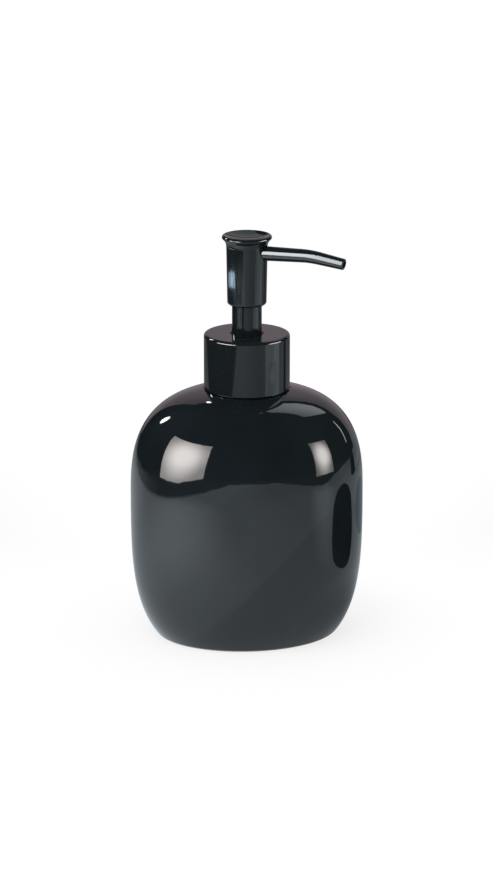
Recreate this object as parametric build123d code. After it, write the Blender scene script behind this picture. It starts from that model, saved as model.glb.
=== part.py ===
from build123d import *
import math
import os

# Soap pump dispenser: plump oval ceramic bottle with a screwed-on, spring-returned hand pump.
# Millimetres, +Z up, origin on the pump axis at table level, X along the long side of the oval.

# Bottle
BODY_WIDTH = 92.4
BODY_DEPTH = 75.8
FOOT_WIDTH = 71.3
GIRTH_HEIGHT = 56.7
DOME_RISE = 44.1
DOME_FULLNESS = 2.84
BELLY_FULLNESS = 3.31
PROFILE_STEPS = 9
CERAMIC_WALL = 4.5
FLOOR_HEIGHT = 6.0
FLOOR_ROUND = 4.0
FOOT_ROUND = 1.2
FOOT_GRIND = 0.1
FOOT_RING_WIDTH = 4.5
FOOT_RECESS = 2.0
FOOT_RECESS_SLOPE = 25.0
SEAT_DEPTH = 1.4
MOUTH_DEPTH = 7.0
MOUTH_WALL = 4.0

# Threaded neck ring in the mouth of the bottle
NECK_ROOT_RADIUS = 12.5
NECK_WALL = 1.9
NECK_FLANGE_THICKNESS = 1.5
NECK_LEAD_IN = 0.8
SPIGOT_DEPTH = 6.5

# Collar: decorative shell over a threaded closure
THREAD_DEPTH = 1.2
CLOSURE_WALL = 1.45
CLOSURE_WEB = 1.6
CLOSURE_SKIRT_GAP = 0.6
CLOSURE_RIB_COUNT = 24
CLOSURE_RIB_DEPTH = 0.4
CLOSURE_RIB_WIDTH = 0.9
COLLAR_HEIGHT = 22.4
COLLAR_WALL = 1.4
COLLAR_TOP_THICKNESS = 1.5
COLLAR_TOP_ROUND = 1.1
COLLAR_BOTTOM_ROUND = 0.6

# Plunger, piston and return spring
STROKE = 10.0
STEM_RADIUS = 3.2
STEM_WALL = 1.5
STEM_PORT_RADIUS = 0.8
STEM_PORT_LIFT = 0.4
STEM_SHOULDER_HEIGHT = 2.0
STEM_TOP_INSET = 3.5
PISTON_HEIGHT = 7.6
PISTON_LAG = 2.0
PISTON_HUB_WALL = 1.6
PISTON_LIP_THICKNESS = 0.8
PLUG_SIDE_ROOM = 0.85
PLUG_FLANGE_THICKNESS = 1.6
PLUG_SHANK_LENGTH = 4.6
PLUG_RIB_WIDTH = 0.9
SPRING_WIRE = 0.9
SPRING_SIDE_ROOM = 1.15
SPRING_LENGTH = 24.0
SPRING_TURNS = 9
SPRING_END_TURNS = 1
SPRING_END_GAP = 0.5

# Fixed guide tube with the neck that shows between collar and head
GUIDE_TUBE_WALL = 1.74
GUIDE_NECK_WALL = 1.39
GUIDE_NECK_OVERLAP = 4.0
GUIDE_NECK_ROUND = 0.4
GUIDE_FOOT_FLARE = 0.38
GUIDE_FOOT_HEIGHT = 3.0
GUIDE_FLANGE_INSET = 0.5
GUIDE_FLANGE_THICKNESS = 1.4
GUIDE_DEPTH = 12.0
BEAD_ROOM = 0.9
BEAD_HEIGHT = 0.6
BEAD_GRIP = 0.3

# Pump cylinder, gasket and inlet valve
BARREL_WALL = 1.4
CYLINDER_FLANGE_INSET = 0.2
CYLINDER_FLANGE_THICKNESS = 1.6
GASKET_THICKNESS = 1.2
VENT_RADIUS = 0.6
BALL_RADIUS = 2.5
BALL_LIFT = 1.5
BALL_SIDE_ROOM = 0.7
SEAT_LAND = 0.1
SEAT_HOLE_LENGTH = 1.2
CAGE_WEB = 1.6
CAGE_HOLE_RADIUS = 1.5
CAGE_SLOT_COUNT = 3
CAGE_SLOT_WIDTH = 1.6
SOCKET_DEPTH = 10.0
SOCKET_WALL = 1.4
SHOULDER_SLOPE_HEIGHT = 3.0
DIP_TUBE_RADIUS = 3.25
DIP_TUBE_WALL = 1.0
DIP_TUBE_FLOOR_GAP = 4.0
DIP_TUBE_CUT_ANGLE = 30.0

# Pump head
HEAD_END_GAP = 1.5
HEAD_WALL = 1.45
HEAD_LIP_FLAT = 0.2
HEAD_TAPER = 0.38
RIM_OVERHANG = 1.72
RIM_BEAD_RADIUS = 0.9
FLARE_ANGLE = 50.0
DISH_ANGLE = 20.0
DISH_WALL = 1.4
CORE_TUBE_WALL = 1.15
CORE_TUBE_ENGAGEMENT = 12.0

# Spout
SPOUT_TURN = -33.0
SPOUT_FLOOR = 2.3
SPOUT_ROOF = 0.9
SPOUT_RISE_ANGLE = 1.9
SPOUT_FALL_ANGLE = 8.0
SPOUT_BEND_REACH = 26.7
SPOUT_TIP_REACH = 14.4
SPOUT_BEND_LENGTH = 7.0
SPOUT_ROOT_RADIUS = 2.95
SPOUT_BEND_RADIUS = 2.6
SPOUT_TIP_RADIUS = 2.2
SPOUT_WALL = 0.85
SPOUT_ROOT_DEPTH = 4.0
SPOUT_TIP_ROUND = 0.3

# Clearances: bonded, seated, pressed, running, sealing, screwed and free-passing faces
BOND_GAP = 0.15
SEAT_GAP = 0.1
PRESS_GAP = 0.05
RUN_GAP = 0.06
SEAL_GAP = 0.03
THREAD_GAP = 0.3
PASS_GAP = 0.3
SLEEVE_GAP = 0.4
CUT_MARGIN = 1.0

# Radii of the collar group, from the neck outwards
mouth_radius = NECK_ROOT_RADIUS + BOND_GAP
neck_bore_radius = NECK_ROOT_RADIUS - NECK_WALL
closure_bore_radius = NECK_ROOT_RADIUS + THREAD_DEPTH + THREAD_GAP
closure_radius = closure_bore_radius + CLOSURE_WALL
collar_bore_radius = closure_radius + PRESS_GAP
collar_radius = collar_bore_radius + COLLAR_WALL
neck_flange_radius = collar_bore_radius - SLEEVE_GAP
cylinder_flange_radius = NECK_ROOT_RADIUS - CYLINDER_FLANGE_INSET
guide_flange_radius = cylinder_flange_radius - GUIDE_FLANGE_INSET

# Radii of the pump, from the stem outwards
stem_bore_radius = STEM_RADIUS - STEM_WALL
core_tube_radius = STEM_RADIUS + PRESS_GAP + CORE_TUBE_WALL
guide_bore_radius = core_tube_radius + RUN_GAP
stem_shoulder_radius = guide_bore_radius - PASS_GAP
guide_tube_radius = guide_bore_radius + GUIDE_TUBE_WALL
guide_neck_radius = guide_bore_radius + GUIDE_NECK_WALL
guide_foot_radius = guide_neck_radius + GUIDE_FOOT_FLARE
collar_hole_radius = guide_foot_radius + PASS_GAP
bead_radius = collar_hole_radius + BEAD_GRIP
barrel_radius = guide_tube_radius + PRESS_GAP
barrel_outer_radius = barrel_radius + BARREL_WALL
plug_flange_radius = barrel_radius - PLUG_SIDE_ROOM
spring_radius = barrel_radius - SPRING_SIDE_ROOM - SPRING_WIRE / 2
socket_radius = DIP_TUBE_RADIUS + PRESS_GAP
socket_outer_radius = socket_radius + SOCKET_WALL
sleeve_bore_radius = guide_neck_radius + SLEEVE_GAP
core_radius = sleeve_bore_radius - PRESS_GAP
head_bottom_radius = sleeve_bore_radius + HEAD_WALL
head_top_radius = head_bottom_radius + HEAD_TAPER
rim_radius = head_top_radius + RIM_OVERHANG

# Heights from the table up to the collar, and down again through the clamped flanges
dome_top = GIRTH_HEIGHT + DOME_RISE
seat_z = dome_top - SEAT_DEPTH
neck_flange_top = seat_z + NECK_FLANGE_THICKNESS
closure_bottom = neck_flange_top + CLOSURE_SKIRT_GAP
collar_bottom = seat_z + PASS_GAP
collar_top = collar_bottom + COLLAR_HEIGHT
collar_ceiling = collar_top - COLLAR_TOP_THICKNESS
web_top = collar_ceiling - BEAD_ROOM
web_bottom = web_top - CLOSURE_WEB
guide_flange_top = web_bottom - SEAT_GAP
guide_flange_bottom = guide_flange_top - GUIDE_FLANGE_THICKNESS
cylinder_top = guide_flange_bottom - SEAT_GAP
cylinder_flange_bottom = cylinder_top - CYLINDER_FLANGE_THICKNESS
gasket_top = cylinder_flange_bottom - SEAT_GAP
gasket_bottom = gasket_top - GASKET_THICKNESS
neck_top = gasket_bottom - SEAT_GAP

# Heights inside the cylinder, from the guide down to the dip tube
guide_bottom = guide_flange_bottom - GUIDE_DEPTH
piston_top = guide_bottom - SEAT_GAP
piston_bottom = piston_top - PISTON_HEIGHT
stem_bottom = piston_bottom - SEAT_GAP
plug_flange_bottom = stem_bottom - PLUG_FLANGE_THICKNESS
spring_top = plug_flange_bottom - SEAT_GAP
spring_bottom = spring_top - SPRING_LENGTH
cage_top = spring_bottom - SEAT_GAP
cage_web_bottom = cage_top - CAGE_WEB
ball_centre_z = cage_web_bottom - SEAT_GAP - BALL_LIFT - BALL_RADIUS

# Inlet valve: the ball rests on a cone of 45 degrees in the floor of the barrel
ball_chamber_radius = BALL_RADIUS + BALL_SIDE_ROOM
ball_contact_radius = BALL_RADIUS / math.sqrt(2)
seat_hole_radius = ball_contact_radius - SEAT_LAND
barrel_floor = ball_centre_z - SEAT_GAP - 2 * ball_contact_radius + ball_chamber_radius
cone_bottom = barrel_floor - (ball_chamber_radius - seat_hole_radius)
socket_top = cone_bottom - SEAT_HOLE_LENGTH
socket_bottom = socket_top - SOCKET_DEPTH
dip_tube_top = socket_top - SEAT_GAP
dip_tube_bottom = FLOOR_HEIGHT + DIP_TUBE_FLOOR_GAP

# Heights of the head above the collar
head_bottom = collar_top + HEAD_END_GAP + STROKE
guide_top = head_bottom + GUIDE_NECK_OVERLAP
core_tube_bottom = guide_top - CORE_TUBE_ENGAGEMENT
core_bottom = guide_top + STROKE + HEAD_END_GAP
stem_top = core_bottom - STEM_TOP_INSET
spout_hole_radius = SPOUT_ROOT_RADIUS + PRESS_GAP
spout_z = core_bottom + SPOUT_FLOOR + spout_hole_radius
core_top = spout_z + spout_hole_radius + SPOUT_ROOF
sleeve_ceiling = core_top + SEAT_GAP
dish_centre_z = sleeve_ceiling + DISH_WALL
dish_slope = math.radians(DISH_ANGLE)
dish_edge_radius = rim_radius - RIM_BEAD_RADIUS * (1 + math.sin(dish_slope))
dish_edge_z = dish_centre_z + dish_edge_radius * math.tan(dish_slope / 2)
rim_bead_z = dish_edge_z - RIM_BEAD_RADIUS * math.cos(dish_slope)


def at(radius, height):
    """Point of a turned profile: distance from the pump axis, and height."""
    return Vector(radius, 0, height)


def line(start, end):
    """Straight edge."""
    return Edge.make_line(start, end)


def arc(start, direction, end):
    """Arc that leaves start along direction and reaches end."""
    return Edge.make_tangent_arc(start, direction, end)


def walls(*corners):
    """Straight edges through the (radius, height) corners of a profile."""
    points = [at(radius, height) for radius, height in corners]
    return [line(start, end) for start, end in zip(points, points[1:])]


def turned(*edges):
    """Solid of revolution about the pump axis from the edges of a closed profile."""
    return revolve(make_face(Wire(edges)), Axis.Z)


def lathe(*corners):
    """Solid of revolution from the corners of a straight-sided profile."""
    return turned(*walls(*corners, corners[0]))


def drum(radius, bottom, top):
    """Upright cylinder on the pump axis between two heights."""
    bar = Cylinder(radius, top - bottom, align=(Align.CENTER, Align.CENTER, Align.MIN))
    return Pos(0, 0, bottom) * bar


def rod(radius, start, direction, length):
    """Cylinder from start along direction."""
    bar = Cylinder(radius, length, align=(Align.CENTER, Align.CENTER, Align.MIN))
    return Plane(origin=start, z_dir=direction) * bar


def disc(radius, centre, direction):
    """Round section square to direction."""
    return Plane(origin=centre, z_dir=direction) * Circle(radius)


def belly_drop():
    """Depth from the girth to the lower pole, for a belly that meets the table at the foot's width."""
    narrowing = 1 - (FOOT_WIDTH / BODY_WIDTH) ** BELLY_FULLNESS
    return GIRTH_HEIGHT / narrowing ** (1 / BELLY_FULLNESS)


def plump_point(inset, reach, fullness, turn):
    """Point of the bottle's side view, a superellipse moved in by inset.

    reach is the signed height from girth to pole, turn runs from 0 at the girth to 90 at the pole.
    """
    across = math.cos(math.radians(turn)) ** (2 / fullness)
    along = math.sin(math.radians(turn)) ** (2 / fullness)
    return at((BODY_WIDTH / 2 - inset) * across, GIRTH_HEIGHT + reach * along)


def plump_profile(inset, base, base_round):
    """Edges of the side view from the axis on a flat base, round the girth, to the top of the dome."""
    drop = belly_drop() - inset
    rise = DOME_RISE - inset
    lowest = (GIRTH_HEIGHT - base - base_round) / drop
    base_turn = math.degrees(math.asin(lowest ** (BELLY_FULLNESS / 2)))
    belly_turns = [base_turn * step / PROFILE_STEPS for step in range(PROFILE_STEPS, 0, -1)]
    dome_turns = [90 * step / PROFILE_STEPS for step in range(PROFILE_STEPS)]
    points = [plump_point(inset, -drop, BELLY_FULLNESS, turn) for turn in belly_turns]
    points += [plump_point(inset, rise, DOME_FULLNESS, turn) for turn in dome_turns]
    pole = at(0, GIRTH_HEIGHT + rise)
    foot = points[0]
    just_above = plump_point(inset, -drop, BELLY_FULLNESS, base_turn * (1 - 1 / PROFILE_STEPS ** 3))
    climb = (just_above - foot).normalized()
    centre = at(0, base)
    base_edge = at(foot.X - base_round * (climb.X + 1) / climb.Z, base)
    base_arc = arc(base_edge, Vector(1, 0, 0), foot)
    side = Edge.make_spline(points + [pole], tangents=[climb, Vector(-1, 0, 0)], scale=False)
    return [line(centre, base_edge), base_arc, side, line(pole, centre)], base_edge.X


def plump_body(inset, base, base_round):
    """Oval solid of the bottle's outline moved in by inset, with the half width and depth of its base."""
    edges, base_half_width = plump_profile(inset, base, base_round)
    squeeze = (BODY_DEPTH / 2 - inset) / (BODY_WIDTH / 2 - inset)
    return scale(turned(*edges), by=(1, squeeze, 1)), base_half_width, base_half_width * squeeze


def make_bottle():
    """Hollow body with a thick mouth, a round seat for the collar and a ground, recessed foot."""
    body, foot_half_width, foot_half_depth = plump_body(0, -FOOT_GRIND, FOOT_ROUND)
    grinding = Box(BODY_WIDTH, BODY_DEPTH, CUT_MARGIN, align=(Align.CENTER, Align.CENTER, Align.MAX))
    body -= grinding
    recess = Ellipse(foot_half_width - FOOT_RING_WIDTH, foot_half_depth - FOOT_RING_WIDTH)
    body -= extrude(recess, FOOT_RECESS, taper=FOOT_RECESS_SLOPE)
    above = dome_top + CUT_MARGIN
    hollow = plump_body(CERAMIC_WALL, FLOOR_HEIGHT, FLOOR_ROUND)[0]
    hollow -= drum(mouth_radius + MOUTH_WALL, seat_z - MOUTH_DEPTH, above)
    body -= hollow
    body -= drum(collar_radius + SLEEVE_GAP, seat_z, above)
    return body - drum(mouth_radius, seat_z - MOUTH_DEPTH - CUT_MARGIN, above)


def make_neck_ring():
    """Flanged ring whose spigot is bonded into the mouth; its upper part carries the screw thread."""
    return lathe(
        (neck_bore_radius, seat_z - SPIGOT_DEPTH),
        (NECK_ROOT_RADIUS, seat_z - SPIGOT_DEPTH),
        (NECK_ROOT_RADIUS, seat_z),
        (neck_flange_radius, seat_z),
        (neck_flange_radius, neck_flange_top),
        (NECK_ROOT_RADIUS, neck_flange_top),
        (NECK_ROOT_RADIUS, neck_top - NECK_LEAD_IN),
        (NECK_ROOT_RADIUS - NECK_LEAD_IN, neck_top),
        (neck_bore_radius, neck_top),
    )


def make_gasket():
    """Flat washer between the neck ring and the flange of the cylinder."""
    washer = drum(cylinder_flange_radius, gasket_bottom, gasket_top)
    return washer - drum(barrel_outer_radius + PASS_GAP, gasket_bottom, gasket_top)


def make_cylinder():
    """Flanged barrel with a conical valve seat, a socket for the dip tube and a vent hole."""
    body = lathe(
        (seat_hole_radius, cone_bottom),
        (ball_chamber_radius, barrel_floor),
        (barrel_radius, barrel_floor),
        (barrel_radius, cylinder_top),
        (cylinder_flange_radius, cylinder_top),
        (cylinder_flange_radius, cylinder_flange_bottom),
        (barrel_outer_radius, cylinder_flange_bottom),
        (barrel_outer_radius, socket_top),
        (socket_outer_radius, socket_top - SHOULDER_SLOPE_HEIGHT),
        (socket_outer_radius, socket_bottom),
        (socket_radius, socket_bottom),
        (socket_radius, socket_top),
        (seat_hole_radius, socket_top),
    )
    vent_start = at(barrel_radius - CUT_MARGIN, (piston_top + piston_bottom) / 2)
    return body - rod(VENT_RADIUS, vent_start, (1, 0, 0), BARREL_WALL + 2 * CUT_MARGIN)


def make_valve_cage():
    """Ring pressed onto the floor of the barrel: keeps the ball in, and seats the spring."""
    cage = drum(barrel_radius - PRESS_GAP, barrel_floor + SEAT_GAP, cage_top)
    cage -= drum(ball_chamber_radius, barrel_floor, cage_web_bottom)
    cage -= drum(CAGE_HOLE_RADIUS, cage_web_bottom - CUT_MARGIN, cage_top + CUT_MARGIN)
    slot_size = (ball_chamber_radius, CAGE_SLOT_WIDTH, 2 * CAGE_WEB)
    slot = Pos(0, 0, cage_top) * Box(*slot_size, align=(Align.MIN, Align.CENTER, Align.CENTER))
    return cage - [Rot(0, 0, turn * 360 / CAGE_SLOT_COUNT) * slot for turn in range(CAGE_SLOT_COUNT)]


def make_ball():
    """Ball of the inlet valve, resting on its seat."""
    return Pos(0, 0, ball_centre_z) * Sphere(BALL_RADIUS)


def make_dip_tube():
    """Suction tube in the socket of the cylinder, its lower end cut on a slant."""
    tube = drum(DIP_TUBE_RADIUS, dip_tube_bottom, dip_tube_top)
    tube -= drum(DIP_TUBE_RADIUS - DIP_TUBE_WALL, dip_tube_bottom - CUT_MARGIN, dip_tube_top + CUT_MARGIN)
    block_size = 8 * DIP_TUBE_RADIUS
    block = Box(block_size, block_size, block_size, align=(Align.CENTER, Align.CENTER, Align.MAX))
    slant = Pos(-DIP_TUBE_RADIUS, 0, dip_tube_bottom) * Rot(0, -DIP_TUBE_CUT_ANGLE, 0)
    return tube - slant * block


def make_guide():
    """Fixed guide: tube pressed into the cylinder, clamped flange, and the flared neck above the collar.

    Its lower end stops the piston, and a small bead below the collar's top keeps the collar on it.
    """
    bead_bottom = web_top + SEAT_GAP
    inside_and_flange = walls(
        (guide_bore_radius, guide_top),
        (guide_bore_radius, guide_bottom),
        (guide_tube_radius, guide_bottom),
        (guide_tube_radius, guide_flange_bottom),
        (guide_flange_radius, guide_flange_bottom),
        (guide_flange_radius, guide_flange_top),
        (guide_foot_radius, guide_flange_top),
        (guide_foot_radius, bead_bottom),
        (bead_radius, bead_bottom),
        (guide_foot_radius, bead_bottom + BEAD_HEIGHT),
        (guide_foot_radius, collar_top),
    )
    foot_start = at(guide_foot_radius, collar_top)
    foot_end = at(guide_neck_radius, collar_top + GUIDE_FOOT_HEIGHT)
    neck_end = at(guide_neck_radius, guide_top - GUIDE_NECK_ROUND)
    round_end = at(guide_neck_radius - GUIDE_NECK_ROUND, guide_top)
    return turned(
        *inside_and_flange,
        arc(foot_end, Vector(0, 0, -1), foot_start),
        line(foot_end, neck_end),
        arc(neck_end, Vector(0, 0, 1), round_end),
        line(round_end, at(guide_bore_radius, guide_top)),
    )


def make_closure():
    """Inner cap: bore for the neck thread, clamping web, and ribs that grip the collar shell."""
    cap = drum(closure_radius, closure_bottom, web_top)
    cap -= drum(closure_bore_radius, closure_bottom - CUT_MARGIN, web_bottom)
    cap -= drum(collar_hole_radius, web_bottom - CUT_MARGIN, web_top + CUT_MARGIN)
    rib_spacing = 2 * math.pi * closure_radius / CLOSURE_RIB_COUNT
    groove_size = (2 * CLOSURE_RIB_DEPTH, rib_spacing - CLOSURE_RIB_WIDTH, 2 * (web_top - closure_bottom))
    groove = Pos(closure_radius, 0, closure_bottom) * Box(*groove_size)
    return cap - [Rot(0, 0, rib * 360 / CLOSURE_RIB_COUNT) * groove for rib in range(CLOSURE_RIB_COUNT)]


def make_collar_shell():
    """Cover of the closure: plain cylinder with softened edges and a hole for the neck."""
    low_round = at(collar_radius - COLLAR_BOTTOM_ROUND, collar_bottom)
    low_side = at(collar_radius, collar_bottom + COLLAR_BOTTOM_ROUND)
    high_side = at(collar_radius, collar_top - COLLAR_TOP_ROUND)
    high_round = at(collar_radius - COLLAR_TOP_ROUND, collar_top)
    inside = walls(
        (high_round.X, collar_top),
        (collar_hole_radius, collar_top),
        (collar_hole_radius, collar_ceiling),
        (collar_bore_radius, collar_ceiling),
        (collar_bore_radius, collar_bottom),
        (low_round.X, collar_bottom),
    )
    return turned(
        *inside,
        arc(low_round, Vector(1, 0, 0), low_side),
        line(low_side, high_side),
        arc(high_side, Vector(0, 0, 1), high_round),
    )


def make_piston():
    """Seal with a lip that opens upwards and one that opens downwards, round a hub on the stem."""
    bore = STEM_RADIUS + RUN_GAP
    hub = bore + PISTON_HUB_WALL
    lip = barrel_radius - SEAL_GAP
    waist = (hub + lip) / 2
    middle = (piston_top + piston_bottom) / 2
    lip_end = piston_top - PISTON_LIP_THICKNESS / 2
    upper = [
        (waist, middle + PISTON_LIP_THICKNESS),
        (lip, lip_end - PISTON_LIP_THICKNESS),
        (lip, lip_end),
        (lip - PISTON_LIP_THICKNESS, lip_end),
        (hub, (middle + lip_end) / 2),
        (hub, piston_top),
        (bore, piston_top),
    ]
    lower = [(radius, 2 * middle - height) for radius, height in reversed(upper)]
    return lathe(*lower, *upper)


def make_plunger_stem():
    """Hollow rod with a shoulder that takes the piston down once it has uncovered the cross ports."""
    shoulder_bottom = piston_top + PISTON_LAG + SEAT_GAP
    stem = drum(STEM_RADIUS, stem_bottom, stem_top)
    stem += drum(stem_shoulder_radius, shoulder_bottom, shoulder_bottom + STEM_SHOULDER_HEIGHT)
    stem -= drum(stem_bore_radius, stem_bottom - CUT_MARGIN, stem_top + CUT_MARGIN)
    port_start = at(-STEM_RADIUS - CUT_MARGIN, stem_bottom + STEM_PORT_LIFT + STEM_PORT_RADIUS)
    port = rod(STEM_PORT_RADIUS, port_start, (1, 0, 0), 2 * (STEM_RADIUS + CUT_MARGIN))
    return stem - port - Rot(0, 0, 90) * port


def make_stem_plug():
    """Foot of the stem: shank with crossed ribs in the bore, and a flange between piston and spring."""
    shank = drum(stem_bore_radius - PRESS_GAP, plug_flange_bottom, stem_bottom + PLUG_SHANK_LENGTH)
    rib = Pos(0, 0, plug_flange_bottom) * Rot(0, 0, 45) * Box(
        2 * STEM_RADIUS,
        PLUG_RIB_WIDTH,
        PLUG_SHANK_LENGTH + PLUG_FLANGE_THICKNESS,
        align=(Align.CENTER, Align.CENTER, Align.MIN),
    )
    ribs = shank & (rib + Rot(0, 0, 90) * rib)
    return ribs + drum(plug_flange_radius, plug_flange_bottom, stem_bottom - PRESS_GAP)


def spring_knots():
    """Quarter-turn places and directions of the wire, closer wound at both ends of the spring."""
    quarters = 4 * SPRING_TURNS
    end_quarters = 4 * SPRING_END_TURNS
    openness = [min(max(min(step, quarters - step) - end_quarters, 0), 1) for step in range(quarters + 1)]
    open_turns = sum(openness) / 4
    end_pitch = SPRING_WIRE + SPRING_END_GAP
    extra_pitch = (SPRING_LENGTH - SPRING_WIRE - end_pitch * SPRING_TURNS) / open_turns
    knots = []
    height = spring_bottom + SPRING_WIRE / 2
    for step, share in enumerate(openness):
        pitch = end_pitch + extra_pitch * share
        if step:
            height += (last_pitch + pitch) / 8
        angle = math.radians(90 * step)
        place = Vector(spring_radius * math.cos(angle), spring_radius * math.sin(angle), height)
        slope = pitch / (2 * math.pi * spring_radius)
        knots.append((place, Vector(-math.sin(angle), math.cos(angle), slope).normalized()))
        last_pitch = pitch
    return knots


def biarc(start, leave, end, arrive):
    """Two arcs that join start to end, tangent to leave, to arrive and to each other."""
    chord = end - start
    ahead = chord.dot(leave + arrive)
    bend = 2 * (1 - leave.dot(arrive))
    reach = (math.sqrt(ahead ** 2 + bend * chord.dot(chord)) - ahead) / bend
    first_corner = start + leave * reach
    last_corner = end - arrive * reach
    middle = (first_corner + last_corner) * 0.5
    return [arc(start, leave, middle), arc(middle, last_corner - first_corner, end)]


def least_self_gap(path):
    """Least clear distance between turns of the wire, measured on points along its centre line."""
    per_turn = 48
    count = per_turn * SPRING_TURNS
    points = [path.position_at(step / count) for step in range(count + 1)]
    gaps = []
    for first in range(count + 1):
        for second in range(first + per_turn // 2, min(first + 2 * per_turn, count + 1)):
            gaps.append((points[first] - points[second]).length)
    return min(gaps) - SPRING_WIRE


def make_return_spring():
    """Compression spring: one round wire swept along a helix of biarcs."""
    knots = spring_knots()
    arcs = []
    for (start, leave), (end, arrive) in zip(knots, knots[1:]):
        arcs += biarc(start, leave, end, arrive)
    path = Wire(arcs)
    print("return_spring least self gap", round(least_self_gap(path), 2), "mm")
    start, leave = knots[0]
    return sweep(disc(SPRING_WIRE / 2, start, leave), path=path)


def spout_direction(rise_angle):
    """Unit vector along the spout, turned about the pump axis and raised by an angle."""
    flat = math.cos(math.radians(rise_angle))
    turn = math.radians(SPOUT_TURN)
    return Vector(flat * math.cos(turn), flat * math.sin(turn), math.sin(math.radians(rise_angle)))


def spout_bar(shrink, past_ends):
    """Tapered round bar along the bent line of the spout, thinner by shrink and longer by past_ends."""
    first = spout_direction(SPOUT_RISE_ANGLE)
    last = spout_direction(-SPOUT_FALL_ANGLE)
    bend = at(0, spout_z) + first * SPOUT_BEND_REACH
    half_bend = SPOUT_BEND_LENGTH / 2
    root = at(0, spout_z) + first * (core_radius - SPOUT_ROOT_DEPTH - past_ends)
    bend_in = bend - first * half_bend
    bend_out = bend + last * half_bend
    tip = bend + last * (SPOUT_TIP_REACH + past_ends)
    root_taper = (SPOUT_ROOT_RADIUS - SPOUT_BEND_RADIUS) * half_bend / SPOUT_BEND_REACH
    tip_taper = (SPOUT_BEND_RADIUS - SPOUT_TIP_RADIUS) * half_bend / SPOUT_TIP_REACH
    root_disc = disc(SPOUT_ROOT_RADIUS - shrink, root, first)
    in_disc = disc(SPOUT_BEND_RADIUS + root_taper - shrink, bend_in, first)
    out_disc = disc(SPOUT_BEND_RADIUS - tip_taper - shrink, bend_out, last)
    tip_disc = disc(SPOUT_TIP_RADIUS - shrink, tip, last)
    bent = sweep([in_disc, out_disc], path=arc(bend_in, first, bend_out), multisection=True)
    return loft([root_disc, in_disc]) + bent + loft([out_disc, tip_disc])


def make_spout():
    """Tapered tube, rising slightly and then bent down, with a softened end."""
    bar = spout_bar(0, 0)
    tip_edge = bar.edges().filter_by(GeomType.CIRCLE).sort_by_distance(at(0, spout_z))[-1]
    return fillet(tip_edge, SPOUT_TIP_ROUND) - spout_bar(SPOUT_WALL, CUT_MARGIN)


def spout_hole():
    """Bar that cuts the seat of the spout into the core and the sleeve."""
    first = spout_direction(SPOUT_RISE_ANGLE)
    start = at(0, spout_z) + first * (core_radius - SPOUT_ROOT_DEPTH - SEAT_GAP)
    return rod(spout_hole_radius, start, first, rim_radius + SPOUT_ROOT_DEPTH)


def make_core():
    """Inner body of the head: guide tube with the stem socket, and the channel to the spout."""
    core = drum(core_radius, core_bottom, core_top) + drum(core_tube_radius, core_tube_bottom, core_top)
    core -= drum(STEM_RADIUS + PRESS_GAP, core_tube_bottom - CUT_MARGIN, stem_top + SEAT_GAP)
    core -= drum(stem_bore_radius, stem_top, spout_z)
    core -= rod(stem_bore_radius, at(0, spout_z), spout_direction(SPOUT_RISE_ANGLE), core_radius)
    return core - spout_hole()


def make_head_shell():
    """Tapered sleeve with a flared, beaded rim and a dished top, open below."""
    flare = math.radians(FLARE_ANGLE)
    bead_centre = at(rim_radius - RIM_BEAD_RADIUS, rim_bead_z)
    bead_low = bead_centre + Vector(math.cos(flare), 0, -math.sin(flare)) * RIM_BEAD_RADIUS
    bead_side = at(rim_radius, rim_bead_z)
    bead_inner = at(dish_edge_radius, dish_edge_z)
    flare_radius = (bead_low.X - head_top_radius) / (1 - math.cos(flare))
    flare_start = at(head_top_radius, bead_low.Z - flare_radius * math.sin(flare))
    low_round = at(sleeve_bore_radius + HEAD_LIP_FLAT, head_bottom)
    low_side = at(head_bottom_radius, head_bottom + HEAD_WALL - HEAD_LIP_FLAT)
    inside = walls(
        (0, dish_centre_z),
        (0, sleeve_ceiling),
        (sleeve_bore_radius, sleeve_ceiling),
        (sleeve_bore_radius, head_bottom),
        (low_round.X, head_bottom),
    )
    sleeve = turned(
        *inside,
        arc(low_round, Vector(1, 0, 0), low_side),
        line(low_side, flare_start),
        arc(flare_start, Vector(0, 0, 1), bead_low),
        arc(bead_low, Vector(math.sin(flare), 0, math.cos(flare)), bead_side),
        arc(bead_side, Vector(0, 0, 1), bead_inner),
        arc(bead_inner, Vector(-math.cos(dish_slope), 0, -math.sin(dish_slope)), at(0, dish_centre_z)),
    )
    return sleeve - spout_hole()


PIECES = {
    "bottle": make_bottle,
    "neck_ring": make_neck_ring,
    "sealing_gasket": make_gasket,
    "pump_cylinder": make_cylinder,
    "valve_cage": make_valve_cage,
    "inlet_ball": make_ball,
    "return_spring": make_return_spring,
    "dip_tube": make_dip_tube,
    "stem_guide": make_guide,
    "closure": make_closure,
    "collar_shell": make_collar_shell,
    "piston": make_piston,
    "plunger_stem": make_plunger_stem,
    "stem_plug": make_stem_plug,
    "actuator_core": make_core,
    "head_shell": make_head_shell,
    "spout": make_spout,
}

os.makedirs("parts", exist_ok=True)
for name, make in PIECES.items():
    export_step(make(), f"parts/{name}.step")
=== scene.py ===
"""Looks of a soap pump dispenser: a plump black-glazed bottle with a screwed-on hand pump.

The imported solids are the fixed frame. This script gives each of them its finish, adds the screw
threads and the wound spring, and sets up the studio. Lengths are in metres, or in millimetres
times MM, in the same frame as the solids: +Z up along the pump, -Y towards the viewer.
"""

import logging
import math
from dataclasses import dataclass, field
from enum import Enum
from typing import Any

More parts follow.
